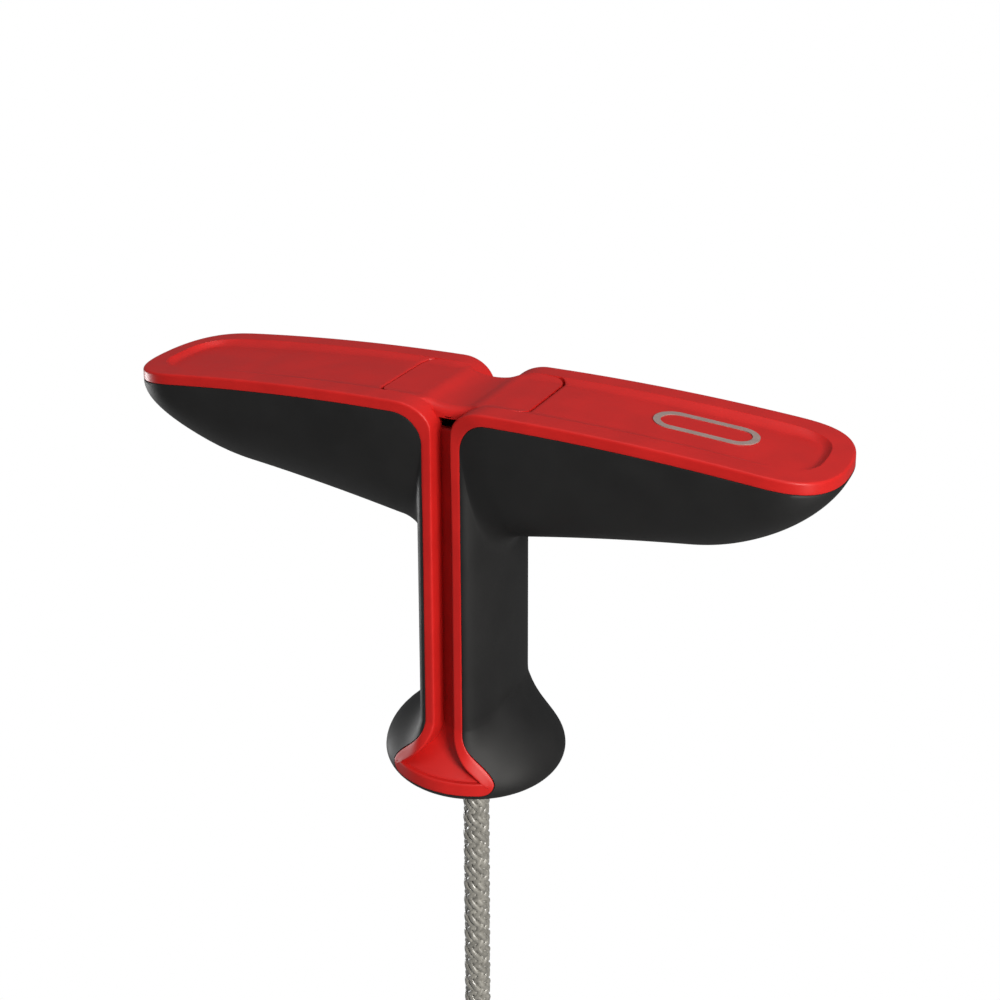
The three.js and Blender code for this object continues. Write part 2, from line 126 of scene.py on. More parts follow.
EDGE_ROOT = 0.9  # and runs on this far under the grip
GRIP_TUCK = 0.12  # the grip's edge starts this far past the lip's outer edge
GRIP_ROLL = 0.13  # and is rolled in by this much
GRIP_BACK = 0.1  # its inner side lies this far behind the edge
GRIP_HOLLOW_DEPTH = 0.6  # how much of the half depth and of the height of a section is hollow
GRIP_HOLLOW_HEIGHT = 0.75

COVER_HALF = 12.75
COVER_CORNER = 2.5
COVER_FOOT = -2.85
COVER_DIP = 1.25
SEAM = 0.19
TUCK = 0.12  # the panel runs on this far under the rim
PANEL_SUNK = 0.015  # and lies this much below it at their common line
PANEL_SKIRT = 2.4  # depth of the panel's side in the seam
COVER_CURVE = 0.037  # how fast the trough in the cover rises to each side
TROUGH_END = (2.6, 3.6)  # where the trough turns into the level part, and over what length
OPEN_EDGE_END = (3.4, 2.2)  # the same for its rounded front and back edge, which lie open in the notch
OPEN_EDGE_ROUND = 1.5
HIDDEN_EDGE_ROUND = 0.06
RIM_BESIDE = (4.6, 1.2)  # where the cover starts to meet the rim, and over what length
COVER_LEAN = 0.35  # the open edge leans in toward its foot
COVER_LEDGE = 0.6
TONGUE_INNER = 7.1
TONGUE_HALF = 3.0
TONGUE_SECTIONS = ((-2.6, 1.3), (-4.5, 1.2), (-6.2, 1.2), (-6.6, 1.5), (-7.0, 0.9))  # height, thickness
POCKET_FLOOR = -16.5
WASHER_TOP = POCKET_FLOOR + 1.7
POCKET = (8.8, 7.1, 5.5)  # half length, half width and corner radius
POCKET_DRAFT = 0.985
POCKET_FLOOR_DRAFT = 0.93
WINDOW_HALF = 1.75  # a small window leads from the top of the groove into the pocket
WINDOW_HEIGHTS = (-5.1, -2.9)
WINDOW_FROM = 6.5
CHANNEL_RADIUS = 2.7
CHANNEL_ROUND = 0.7

ROPE_DIAMETER = 4.6
ROPE_END = -122.0
STEM_ROPE = 4.4
KNOT_ROPE = 4.3
STRANDS_EACH_WAY = 8
BRAID_LEAD = 13.0
BRAID_WAVE = 0.15
BRAID_PROUD = 0.06  # strands of one lay stand out over the others
STRAND_WIDE = 0.46
STRAND_THICK = 0.30
BRAID_CORE_GAP = 0.12
STATIONS_PER_CROSSING = 4

FLIP_X = np.array([-1, 1, 1])
FLIP_Y = np.array([1, -1, 1])

# How finely the larger surfaces are divided.
AROUND = 64
FLOOR_COLUMNS = 25
COVER_COLUMNS = 61
RING_POINTS = 96
FOOT_RING_POINTS = 144
STRAND_POINTS = 8
CORE_POINTS = 20


# ---- small helpers --------------------------------------------------------------------------------
def lerp(a, b, t):
    return a + (b - a) * t


def smooth(t):
    t = np.clip(t, 0.0, 1.0)
    return t * t * (3 - 2 * t)


def place(points):
    """Handle millimetres to frame metres."""
    p = np.asarray(points, float)
    return (p + [0, 0, CROWN]) * MM


def mesh_object(name, points, faces, material, sharp_degrees):
    mesh = bpy.data.meshes.new(name)
    mesh.from_pydata([tuple(p) for p in place(points)], [], [tuple(f) for f in faces])
    bm = bmesh.new()
    bm.from_mesh(mesh)
    bmesh.ops.remove_doubles(bm, verts=bm.verts, dist=2e-7)
    bmesh.ops.recalc_face_normals(bm, faces=bm.faces)
    bm.to_mesh(mesh)
    bm.free()
    mesh.polygons.foreach_set("use_smooth", [True] * len(mesh.polygons))
    mesh.set_sharp_from_angle(angle=math.radians(sharp_degrees))
    mesh.materials.append(material)
    piece = bpy.data.objects.new(name, mesh)
    bpy.context.scene.collection.objects.link(piece)
    return piece


def grid_faces(rows, columns, start=0, wrap_rows=False, wrap_columns=False):
    faces = []
    for i in range(rows if wrap_rows else rows - 1):
        for j in range(columns if wrap_columns else columns - 1):
            k, m = (i + 1) % rows, (j + 1) % columns
            faces.append([start + i * columns + j, start + i * columns + m,
                          start + k * columns + m, start + k * columns + j])
    return faces


class Surface:
    """Points and faces gathered from several grids."""

    def __init__(self):
        self.points = []
        self.faces = []

    def grid(self, rows, wrap_rows=False, wrap_columns=False):
        rows = np.asarray(rows, float)
        start = len(self.points)
        self.faces += grid_faces(rows.shape[0], rows.shape[1], start, wrap_rows, wrap_columns)
        self.points += rows.reshape(-1, 3).tolist()
        return self

    def cap(self, ring, flip=False):
        start = len(self.points)
        self.points += np.asarray(ring, float).tolist()
        face = list(range(start, start + len(ring)))
        self.faces.append(face[::-1] if flip else face)

    def loft(self, rings):
        """A closed solid through a row of rings."""
        self.grid(rings, wrap_columns=True)
        self.cap(rings[0], flip=True)
        self.cap(rings[-1])
        return self

    def piece(self, name, material, sharp_degrees):
        return mesh_object(name, self.points, self.faces, material, sharp_degrees)


# ---- the outer form, as in the frame --------------------------------------------------------------
def crown(x):
    """Height of the top plate, which droops toward both tips."""
    out = np.maximum(0, np.abs(x) - LEVEL_HALF) / (HALF_SPAN - LEVEL_HALF)
    return -DROOP * out**2


def half_depth(x):
    """Half depth of the top plate, which is rounded off at the tips."""
    t = np.clip((np.abs(x) - END_START) / (HALF_SPAN - END_START), 0, 1)
    return HALF_DEPTH * (1 - t**END_POWER) ** (1 / SIDE_POWER)


def keel_z(x):
    """Height of the lowest line of the right wing."""
    t = np.clip((x - KEEL_TIP_START) / (HALF_SPAN - KEEL_TIP_START), 0, 1)
    return crown(x) - PLATE - (KEEL_AT_CENTRE - KEEL_TAPER * x) * (1 - t**KEEL_TIP_POWER) ** KEEL_TIP_ROUND


def tip_curve(start, end, half, side_power, angle):
    """A point on the rounded end of an outline: angle 0 where it starts, 90 degrees at the tip."""
    s, c = np.sin(angle), np.abs(np.cos(angle))
    return start + (end - start) * s ** (2 / END_POWER), half * c ** (2 / side_power)


def stem_quarter(t):
    """A point on the rounded side of the stem: angle 0 at the red band, 90 degrees at the side."""
    return (
        BAND_HALF + (STEM_HALF_WIDTH - BAND_HALF) * np.sin(t) ** (2 / STEM_POWER),
        STEM_HALF_DEPTH * np.abs(np.cos(t)) ** (2 / STEM_POWER),
    )


STEM_TABLE = [stem_quarter(t) for t in np.linspace(math.pi / 2, 0, 400)]
STEM_ANGLES = np.array([math.atan2(y, x) for x, y in STEM_TABLE])
STEM_RADII = np.array([math.hypot(x, y) for x, y in STEM_TABLE])


def stem_radius(angle):
    """Distance of the stem's skin from the rope axis, at an angle from the side."""
    a = np.abs(np.arctan2(np.sin(angle), np.abs(np.cos(angle))))
    flat = STEM_HALF_DEPTH / np.maximum(np.sin(a), 0.1)
    return np.where(a > STEM_ANGLES[-1], flat, np.interp(a, STEM_ANGLES, STEM_RADII))


def skin_radius(z, angle):
    """The stem opens into a round bell with a rolled edge. The flare starts higher at the sides."""
    front = np.sin(angle) ** 2
    t = np.clip((FLARE_TOP - z) / (FLARE_TOP - BELL_WIDEST), 0, 1)
    side_t = np.clip((FLARE_TOP_SIDE - z) / (FLARE_TOP_SIDE - BELL_WIDEST), 0, 1)
    line, square, sixth = FLARE_WEIGHTS
    steep = line * t + square * t**2 - sixth * t**6
    gentle = np.sin(np.pi / 2 * side_t**FLARE_SIDE_POWER)
    flare = lerp(gentle, steep, front)
    edge = np.maximum(0, BELL_WIDEST - z)
    rolled = BELL_EDGE_RADIUS - np.sqrt(np.maximum(0, BELL_EDGE_RADIUS**2 - edge**2))
    return lerp(stem_radius(angle), BELL_RADIUS, flare) - rolled


def edge_angle(z, x):
    """Angle from the side at which the skin is x away from the middle plane."""
    low, high = 0.0, math.pi / 2
    for _ in range(40):
        a = (low + high) / 2
        if skin_radius(z, a) * math.cos(a) > x:
            low = a
        else:
            high = a
    return low


def on_skin(x, z):
    """The front skin of stem or bell at a given x and z."""
    a = edge_angle(z, abs(x))
    r = float(skin_radius(z, a))
    return [math.copysign(r * math.cos(a), x), -r * math.sin(a), z]


def band_half(z):
    """Half width of the red band: straight down the stem, then the sides of the fan."""
    t = np.clip((FAN_TOP - z) / FAN_SPREAD, 0, 1)
    return BAND_HALF + (FAN_HALF - BAND_HALF) * smooth(t**FAN_SPREAD_POWER)


def foot_half(z):
    """The red band's half width, closing in round the fan's corner at the foot."""
    low = FAN_FOOT + FAN_CORNER
    if z >= low:
        return float(band_half(z))
    drop = min(low - z, FAN_CORNER)
    return FAN_HALF - FAN_CORNER + math.sqrt(FAN_CORNER**2 - drop**2)


# ---- materials ------------------------------------------------------------------------------------
def new_material(name, color, roughness, specular=0.5):
    material = bpy.data.materials.new(name)
    material.use_nodes = True
    shader = material.node_tree.nodes["Principled BSDF"]
    shader.inputs["Base Color"].default_value = (*color, 1)
    shader.inputs["Roughness"].default_value = roughness
    shader.inputs["Specular IOR Level"].default_value = specular
    return material, shader


def noise(material, scale, detail=4.0, stretch=(1, 1, 1)):
    nodes, links = material.node_tree.nodes, material.node_tree.links
    where = nodes.new("ShaderNodeTexCoord")
    mapping = nodes.new("ShaderNodeMapping")
    mapping.inputs["Scale"].default_value = stretch
    texture = nodes.new("ShaderNodeTexNoise")
    texture.inputs["Scale"].default_value = scale
    texture.inputs["Detail"].default_value = detail
    links.new(where.outputs["Object"], mapping.inputs["Vector"])
    links.new(mapping.outputs["Vector"], texture.inputs["Vector"])
    return texture


def ramp(material, source, low, high):
    node = material.node_tree.nodes.new("ShaderNodeValToRGB")
    for element, position, color in zip(node.color_ramp.elements, (0.35, 0.65), (low, high)):
        element.position = position
        element.color = (*color, 1)
    material.node_tree.links.new(source, node.inputs["Fac"])
    return node.outputs["Color"]


def bump(material, shader, height, distance, strength=1.0):
    node = material.node_tree.nodes.new("ShaderNodeBump")
    node.inputs["Distance"].default_value = distance
    node.inputs["Strength"].default_value = strength
    material.node_tree.links.new(height, node.inputs["Height"])
    material.node_tree.links.new(node.outputs["Normal"], shader.inputs["Normal"])


def varied(material, shader, color, spread, roughness, rough_spread, scale):
    """Small uneven patches in colour and gloss."""
    links = material.node_tree.links
    patches = noise(material, scale)
    dark = tuple(c * (1 - spread) for c in color)
    light = tuple(min(1.0, c * (1 + spread)) for c in color)
    links.new(ramp(material, patches.outputs["Fac"], dark, light), shader.inputs["Base Color"])
    low = (roughness - rough_spread,) * 3
    high = (roughness + rough_spread,) * 3
    links.new(ramp(material, patches.outputs["Fac"], low, high), shader.inputs["Roughness"])


def red_plastic():
    color = (0.56, 0.015, 0.013)
    material, shader = new_material("red_plastic", color, 0.40, 0.28)
    varied(material, shader, color, 0.05, 0.40, 0.03, 180)
    bump(material, shader, noise(material, 9000, 2).outputs["Fac"], 0.000004, 0.35)
    return material


def soft_grip():
    color = (0.0135, 0.0135, 0.0139)
    material, shader = new_material("soft_grip", color, 0.54, 0.30)
    varied(material, shader, color, 0.10, 0.56, 0.03, 150)
    bump(material, shader, noise(material, 14000, 3).outputs["Fac"], 0.000006, 0.5)
    return material


def grey_inlay():
    color = (0.33, 0.25, 0.23)
    material, shader = new_material("grey_inlay", color, 0.38, 0.5)
    varied(material, shader, color, 0.06, 0.38, 0.03, 400)
    return material


def washer_steel():
    color = (0.55, 0.55, 0.56)
    material, shader = new_material("washer_steel", color, 0.32)
    shader.inputs["Metallic"].default_value = 1.0
    varied(material, shader, color, 0.08, 0.32, 0.08, 500)
    bump(material, shader, noise(material, 3000, 3, (1, 12, 1)).outputs["Fac"], 0.000006, 0.4)
    return material


def rope_fibre():
    color = (0.26, 0.252, 0.227)
    material, shader = new_material("rope_fibre", color, 0.30, 0.8)
    varied(material, shader, color, 0.25, 0.30, 0.06, 900)
    shader.inputs["Sheen Weight"].default_value = 0.25
    shader.inputs["Sheen Roughness"].default_value = 0.4
    bump(material, shader, noise(material, 5200, 3, (1, 1, 0.25)).outputs["Fac"], 0.00005, 0.6)
    return material


RED = red_plastic()
GRIP = soft_grip()
INLAY = grey_inlay()
STEEL = washer_steel()
FIBRE = rope_fibre()


# ---- red border: one rounded lip that runs all the way round ---------------------------------------
def quarter_path():
    """Stations of the front right quarter, from the foot of the fan to the tip of the wing.

    Each is three points: the outer edge beside the black grip, the corner, and the foot of the inner side.
    """
    stations = [fan_station(*pair) for pair in zip(*fan_outline())]
    # Stem.
    for z in np.linspace(FAN_TOP, SHOULDER_Z, 14, endpoint=False):
        inner_z = lerp(z, LIP_TOP_Z, smooth((z - LIP_LEADS) / (SHOULDER_Z - LIP_LEADS)))
        stations.append([
            on_skin(BAND_HALF, z),
            [BAND_HALF - LIP, -STEM_HALF_DEPTH, inner_z],
            [BAND_HALF - LIP, -GROOVE_FLOOR + LIP_ROOT, inner_z],
        ])
    # Shoulder.
    for a in np.linspace(0, math.pi / 2, 26, endpoint=False):
        depth = lerp(STEM_HALF_DEPTH, HALF_DEPTH, smooth(a / (math.pi / 2)))
        outer_x = SHOULDER_X - (SHOULDER_X - BAND_HALF) * math.cos(a)
        outer_z = -PLATE - (-PLATE - SHOULDER_Z) * (1 - math.sin(a))
        top_x = LIP_TOP_X - (LIP_TOP_X - BAND_HALF + LIP) * math.cos(a)
        top_z = LIP_TOP_Z * (1 - math.sin(a))
        foot = lerp(GROOVE_FLOOR, RIM_INNER, smooth(a / (math.pi / 2)))
        stations.append([[outer_x, -depth, outer_z], [top_x, -depth, top_z], [top_x, -foot, top_z]])
    # Wing.
    for t in np.linspace(0, 1, 30, endpoint=False):
        x = lerp(SHOULDER_X, END_START, t)
        top_x = lerp(LIP_TOP_X, END_START, t)
        foot_x = lerp(LIP_TOP_X, RECESS_START, t)
        stations.append([
            [x, -HALF_DEPTH, float(crown(x)) - PLATE],
            [top_x, -HALF_DEPTH, float(crown(top_x))],
            [foot_x, -RIM_INNER, float(crown(foot_x))],
        ])
    # Tip.
    for angle in np.linspace(0, math.pi / 2, 48):
        x, y = tip_curve(END_START, HALF_SPAN, HALF_DEPTH, SIDE_POWER, angle)
        foot_x, foot_y = tip_curve(RECESS_START, RECESS_END, RIM_INNER, RECESS_SIDE_POWER, angle)
        stations.append([
            [x, -y, float(crown(x)) - PLATE],
            [x, -y, float(crown(x))],
            [foot_x, -foot_y, float(crown(foot_x))],
        ])
    return np.array(stations)


def fan_outline():
    """Outer edge of the fan as (x, z), from the middle of its foot up its side, and the lip's inner edge."""
    corner_x, corner_z = FAN_HALF - FAN_CORNER, FAN_FOOT + FAN_CORNER
    outer = [(x, FAN_FOOT) for x in np.linspace(0, corner_x, 16, endpoint=False)]
    for a in np.linspace(-math.pi / 2, 0, 16, endpoint=False):
        outer.append((corner_x + FAN_CORNER * math.cos(a), corner_z + FAN_CORNER * math.sin(a)))
    outer += [(float(band_half(z)), z) for z in np.linspace(corner_z, FAN_TOP, 34, endpoint=False)]
    outer = np.array(outer)
    way = np.gradient(outer, axis=0)
    way[0] = (1, 0)
    way /= np.linalg.norm(way, axis=1)[:, None]
    side = lerp(FAN_SIDE_LIP, LIP, smooth((outer[:, 1] - FAN_FOOT) / (FAN_TOP - FAN_FOOT)))
    inner = outer + np.stack([-way[:, 1] * side, way[:, 0] * FAN_FOOT_LIP], axis=1)
    return outer, inner


def floor_y(x, z):
    """The floor of the groove and of the fan, which slopes out toward the lip at its foot."""
    t = np.clip((FAN_TOP - z) / (FAN_TOP - FAN_FOOT - FAN_FOOT_LIP), 0, 1)
    middle = lerp(GROOVE_FLOOR, FAN_FLOOR_FOOT, t**FAN_FLOOR_POWER)
    return -middle + np.asarray(x) ** 2 / (2 * BELL_RADIUS) * t


def fan_station(outer, inner):
    """The side walls of the fan lean in toward its floor, most of all half way down."""
    x, z = inner
    top_fade, foot_fade = FAN_SLANT_FADES
    lean = FAN_SLANT * float(smooth((FAN_TOP - z) / top_fade))
    lean *= float(smooth((z - FAN_FOOT - FAN_FOOT_LIP) / foot_fade))
    foot_x = x * 0.99 - min(lean, 0.8 * x)
    return [on_skin(*outer), on_skin(x, z), [foot_x, float(floor_y(foot_x, z)) + 0.1, z]]


def rounded_profile(station, inward, down):
    """The rounded lip across one station, from under the grip's edge over the corner to its inner foot."""
    outer, corner, foot = station
    face = corner - outer
    rim = foot - corner
    face_length = np.linalg.norm(face)
    rim_length = np.linalg.norm(rim)
    face_way = face / face_length
    rim_way = rim / rim_length
    rolled_in = outer + inward * EDGE_TUCK
    on_face = outer + face_way * EDGE_TUCK
    points = [outer + inward * EDGE_ROOT, rolled_in]
    for t in np.linspace(0, 1, 4)[1:]:
        points.append(lerp(lerp(rolled_in, outer, t), lerp(outer, on_face, t), t))
    r = min(EDGE_ROUND, EDGE_SHARE * face_length, EDGE_SHARE * rim_length)
    a, b = corner - face_way * r, corner + rim_way * r
    points += [lerp(points[-1], a, t) for t in (0.33, 0.66)]
    for t in np.linspace(0, 1, 8):
        points.append(lerp(lerp(a, corner, t), lerp(corner, b, t), t))
    points += [lerp(b, foot, t) for t in (0.25, 0.5, 0.75, 1.0)]
    points.append(foot + rim_way * 0.08 + down * 0.25)
    return points


def border():
    """The whole loop, mirrored from its front right quarter."""
    rows = []
    for station in quarter_path():
        face = station[1] - station[0]
        rim = station[2] - station[1]
        inward = rim - face * np.dot(rim, face) / np.dot(face, face)
        down = -face + rim * np.dot(rim, face) / np.dot(rim, rim)
        rows.append(rounded_profile(station, inward / np.linalg.norm(inward), down / np.linalg.norm(down)))
    rows = np.array(rows)
    back = rows[::-1][1:] * FLIP_Y
    left_back = (rows * FLIP_X * FLIP_Y)[1:]
    left_front = (rows * FLIP_X)[::-1][1:-1]
    return np.concatenate([rows, back, left_back, left_front])


def groove_floor():
    """The floor of the groove, spreading into the fan. It runs on under the lips on each side."""
    # The first row turns the floor's upper end inward.
    top_half = BAND_HALF - FLOOR_TUCK
    top_line = np.linspace(-top_half, top_half, FLOOR_COLUMNS)
    rows = [[[x, -GROOVE_FLOOR + 1.0, GROOVE_TOP] for x in top_line]]
    heights = [*np.linspace(-6, FAN_TOP, 14), *np.linspace(FAN_TOP - 0.3, FAN_FOOT + 0.7, 44)]
    for z in [GROOVE_TOP, GROOVE_TOP - 0.2, *heights]:
        half = float(foot_half(z)) - FLOOR_TUCK
        x = np.linspace(-half, half, FLOOR_COLUMNS)
        y = floor_y(x, z) + (0.2 if z == GROOVE_TOP else 0)
        rows.append(np.stack([x, y, np.full(FLOOR_COLUMNS, z)], axis=1).tolist())
    return np.array(rows)


# ---- sunken panels and the pocket under the cover --------------------------------------------------
def recess_depth(x):
    return lerp(*RECESS_DEPTH, np.clip((np.abs(x) - COVER_HALF) / RECESS_DEEPENS, 0, 1))


def wall_drop(x, y):
    """0 on the inner edge of the rim, 1 on the floor of the recess, with a soft step between."""
    u = np.maximum(0, np.abs(x) - RECESS_START) / (RECESS_END - RECESS_START)
    v = np.abs(y) / RIM_INNER
    level = np.maximum(0, 1 - v**RECESS_SIDE_POWER - u**END_POWER)
    slope = np.hypot(
        RECESS_SIDE_POWER * v ** (RECESS_SIDE_POWER - 1) / RIM_INNER,
        END_POWER * u ** (END_POWER - 1) / (RECESS_END - RECESS_START),
    )
    start, length = WALL_STEEPENS
    wall = lerp(SIDE_WALL, END_WALL, smooth((np.abs(x) - start) / length))
    t = np.clip(level / np.maximum(slope, 1e-3) / wall, 0, 1)
    return 1 - (1 - t) ** 2


def seam_x(y):
    """Where the panel ends beside the cover and its rounded corners."""
    over = np.clip(np.abs(y) - (RIM_INNER - COVER_CORNER), 0, COVER_CORNER)
    return COVER_HALF - COVER_CORNER + np.sqrt(COVER_CORNER**2 - over**2) + SEAM


def panel():
    """The sunken panel of the right wing, from the seam beside the cover to the rim round the tip."""
    # Rows across and columns along the wing, both closer together near the rim.
    q = np.sin(np.linspace(-np.pi / 2, np.pi / 2, 81))
    p = 1 - (1 - np.linspace(0, 1, 111)) ** 1.5
    y = (RIM_INNER + TUCK) * q[:, None] * np.ones_like(p)[None]
    start = seam_x(RIM_INNER * q)[:, None]
    tip = (1 - np.abs(q) ** RECESS_SIDE_POWER) ** (1 / END_POWER)
    end = RECESS_START + (RECESS_END + TUCK - RECESS_START) * tip[:, None]
    x = start + (end - start) * p[None]
    z = crown(x) - recess_depth(x) * wall_drop(x, y) - PANEL_SUNK
    rows = np.stack([x, y, z], axis=2)
    # The edge at the seam is rolled over and runs down beside the cover.
    rolled = rows[:, :1] + [-0.04, 0, -0.1]
    skirt = rows[:, :1] + [-0.05, 0, -PANEL_SKIRT]
    rows[:, 0, 0] += 0.1
    return np.concatenate([skirt, rolled, rows], axis=1)


def rounded_ring(half_x, half_y, radius, z):
    """A rounded rectangle about the rope axis; a circle if all three are the same."""
    ring = []
    for a in np.linspace(0, 2 * np.pi, RING_POINTS, endpoint=False):
        c, s = math.cos(a), math.sin(a)
        ring.append([math.copysign(half_x - radius, c) * min(1, abs(c) * 8) + radius * c,
                     math.copysign(half_y - radius, s) * min(1, abs(s) * 8) + radius * s, z])
    return np.array(ring)


def valley_z(x):
    """Height of the turned-down shoulder between the wings."""
    t = np.clip((LIP_TOP_X - np.abs(x)) / (LIP_TOP_X - BAND_HALF + LIP), 0, 1)
    return LIP_TOP_Z * (1 - np.sqrt(1 - t**2))


def pocket():
    """Seat of the cover, walls of the knot pocket and the channel that the rope leaves through."""
    seat = rounded_ring(COVER_HALF + SEAM, RIM_INNER + SEAM, COVER_CORNER, COVER_FOOT - 0.1)
    top = seat.copy()
    # Its upper edge stays hidden under the panels, and under the turned-down shoulders in the notch.
    top[:, 2] = np.minimum(-0.55, np.maximum(valley_z(top[:, 0]) - 0.25, seat[:, 2]))
    mouth = rounded_ring(*POCKET, COVER_FOOT - 0.1)
    rings = [top, seat, mouth, mouth * [POCKET_DRAFT, POCKET_DRAFT, 1] + [0, 0, -0.25]]
    for z in (-5.0, -10, POCKET_FLOOR + 0.6):
        rings.append(mouth * [POCKET_DRAFT, POCKET_DRAFT, 0] + [0, 0, z])
    rings.append(mouth * [POCKET_FLOOR_DRAFT, POCKET_FLOOR_DRAFT, 0] + [0, 0, POCKET_FLOOR])
    channel = rounded_ring(CHANNEL_RADIUS, CHANNEL_RADIUS, CHANNEL_RADIUS, POCKET_FLOOR)
    rings += [channel, channel * [1, 1, 0] + [0, 0, BELL_FOOT + 1]]
    rings = np.array(rings)
    faces = grid_faces(rings.shape[0], rings.shape[1], 0, wrap_columns=True)
    points = rings.reshape(-1, 3)

    def in_window(face):
        x, y, z = points[face].mean(axis=0)
        low, high = WINDOW_HEIGHTS
        in_wall = face[0] // rings.shape[1] in (2, 3)
        return in_wall and abs(x) < WINDOW_HALF and abs(y) > WINDOW_FROM and low < z < high

    return points, [f for f in faces if not in_window(f)]


def build_frame():
    shell = Surface()
    shell.grid(border(), wrap_rows=True)
    floor = groove_floor()
    shell.grid(floor)
    shell.grid(floor * FLIP_Y)
    right = panel()
    shell.grid(right)
    shell.grid(right * FLIP_X)
    points, faces = pocket()
    start = len(shell.points)
    shell.points += points.tolist()
    shell.faces += [[start + i for i in f] for f in faces]
    piece = shell.piece("red_frame", RED, 38)
    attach(piece, "handle")
    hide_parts("frame")


# ---- knot cover -----------------------------------------------------------------------------------
def cover_z(x, y):
    """Height of the cover's upper side: a trough in the middle that runs out into the two panels."""
    ax = np.abs(x)
    middle = -COVER_DIP + COVER_CURVE * ax**2
    level = crown(ax) - recess_depth(ax)
    start, length = TROUGH_END
    base = lerp(middle, level, smooth((ax - start) / length))
    wall = wall_drop(ax, y)
    rim = np.where(ax < LIP_TOP_X, valley_z(ax), crown(ax))
    start, length = RIM_BESIDE
    beside_rim = smooth((ax - start) / length)
    return base + beside_rim * (rim - base) * (1 - wall)


def build_cover():
    """A loft of sections across the bar, with a spring tongue hanging down at the left and at the right."""
    ends = COVER_HALF - SEAM
    x_line = ends * np.sin(np.linspace(-np.pi / 2, np.pi / 2, 121))
    open_end, fade = OPEN_EDGE_END
    rings = []
    for i, x in enumerate(x_line):
        past = max(0.0, abs(x) - (ends - COVER_CORNER))
        half = RIM_INNER - COVER_CORNER + math.sqrt(max(0, COVER_CORNER**2 - past**2))
        half = max(half - SEAM * float(smooth((abs(x) - 8) / 2)), RIM_INNER - COVER_CORNER)
        open_edge = 1 - float(smooth((abs(x) - open_end) / fade))
        r = lerp(HIDDEN_EDGE_ROUND, OPEN_EDGE_ROUND, open_edge)
        x_row = np.full(COVER_COLUMNS, x)
        y_row = np.sin(np.linspace(-np.pi / 2, np.pi / 2, COVER_COLUMNS)) * (half - r)
        top = np.stack([x_row, y_row, cover_z(x_row, y_row)], axis=1)
        if i in (0, len(x_line) - 1):
            top[:, 2] -= 0.1
        edge = []
        for a in np.linspace(0, np.pi / 2, 7)[:-1]:
            drop = r * (1 - math.sin(a))
            edge.append([x, -(half - r + r * math.cos(a)), top[0, 2] - drop])
        edge = np.array(edge)
        lean = COVER_LEAN * open_edge
        foot = np.array([
            [x, -(half - COVER_LEDGE - lean), COVER_FOOT],
            [x, -(half - lean), COVER_FOOT],
            [x, -(half - lean * 0.3), lerp(COVER_FOOT, edge[0, 2], 0.5)],
        ])
        ring = np.concatenate([foot, edge, top, edge[::-1] * FLIP_Y, foot[::-1] * FLIP_Y])
        rings.append(ring)
    shell = Surface().loft(rings)
    for side in (-1, 1):
        tongue = []
        for z, thick in TONGUE_SECTIONS:
            near, far = side * TONGUE_INNER, side * (TONGUE_INNER + thick)
            tongue.append([[near, -TONGUE_HALF, z], [far, -TONGUE_HALF, z],
                           [far, TONGUE_HALF, z], [near, TONGUE_HALF, z]])
        shell.loft(tongue)
    piece = shell.piece("snap_cover", RED, 38)
    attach(piece, "cover")
    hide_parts("knot_cover")


# ---- black grips and foot ring --------------------------------------------------------------------
def bowed(edge, keel, depth, power):
    """A section of the grip, bowed from its front edge round to its back edge, with both edges rolled in.

    It is hollow inside, which leaves room for the pocket under the cover.
    """
    t = np.linspace(0, np.pi, AROUND + 1)
    g = np.sign(np.cos(t)) * np.abs(np.cos(t)) ** (2 / power)
    f = np.maximum(0, np.sin(t)) ** (2 / power)
    ring = np.stack([lerp(edge[0], keel[0], f), -depth * g, lerp(edge[1], keel[1], f)], axis=1)
    way = np.array([keel[0] - edge[0], 0, keel[1] - edge[1]])
    hollow = np.array([edge[0], -GRIP_HOLLOW_DEPTH * depth, edge[1]]) + GRIP_HOLLOW_HEIGHT * way
    way /= np.linalg.norm(way)
    ring[0] += way * GRIP_TUCK
    ring[-1] += way * GRIP_TUCK
    near = ring[0] + [0, GRIP_ROLL, 0] - way * GRIP_BACK
    deep = ring[0] + [0, min(1.0, depth * 0.5), 0] - way * GRIP_BACK
    return with_inside(ring, near, deep, hollow)


def with_inside(ring, near, deep, hollow):
    """A skin section closed by the three points behind its front edge and their mirror images."""
    inside = np.array([hollow, deep, near])
    return np.concatenate([inside, ring, inside[::-1] * FLIP_Y])


def bell_ring(z):
    """A level section of the grip below the wing, from the edge of the red band round to the back."""
    edge = edge_angle(z, foot_half(z) + GRIP_TUCK)
    full = math.atan2(STEM_HALF_DEPTH, BAND_HALF)
    ring = []
    for t in np.linspace(0, np.pi, AROUND + 1):
        x, y = stem_quarter(min(t, np.pi - t))
        angle = (-1 if t < np.pi / 2 else 1) * math.atan2(max(y, 0), x) * (edge / full)
        r = float(skin_radius(z, angle))
        ring.append([r * math.cos(angle), r * math.sin(angle), z])
    ring = np.array(ring)
    radial = ring[0] * [1, 1, 0] / np.linalg.norm(ring[0][:2])
    side = np.array([-radial[1], radial[0], 0])
    if side[0] > 0:
        side = -side
    near = ring[0] - radial * GRIP_ROLL + side * GRIP_BACK
    deep = ring[0] - radial + side * GRIP_BACK
    return with_inside(ring, near, deep, deep * [1, 0.4, 1])


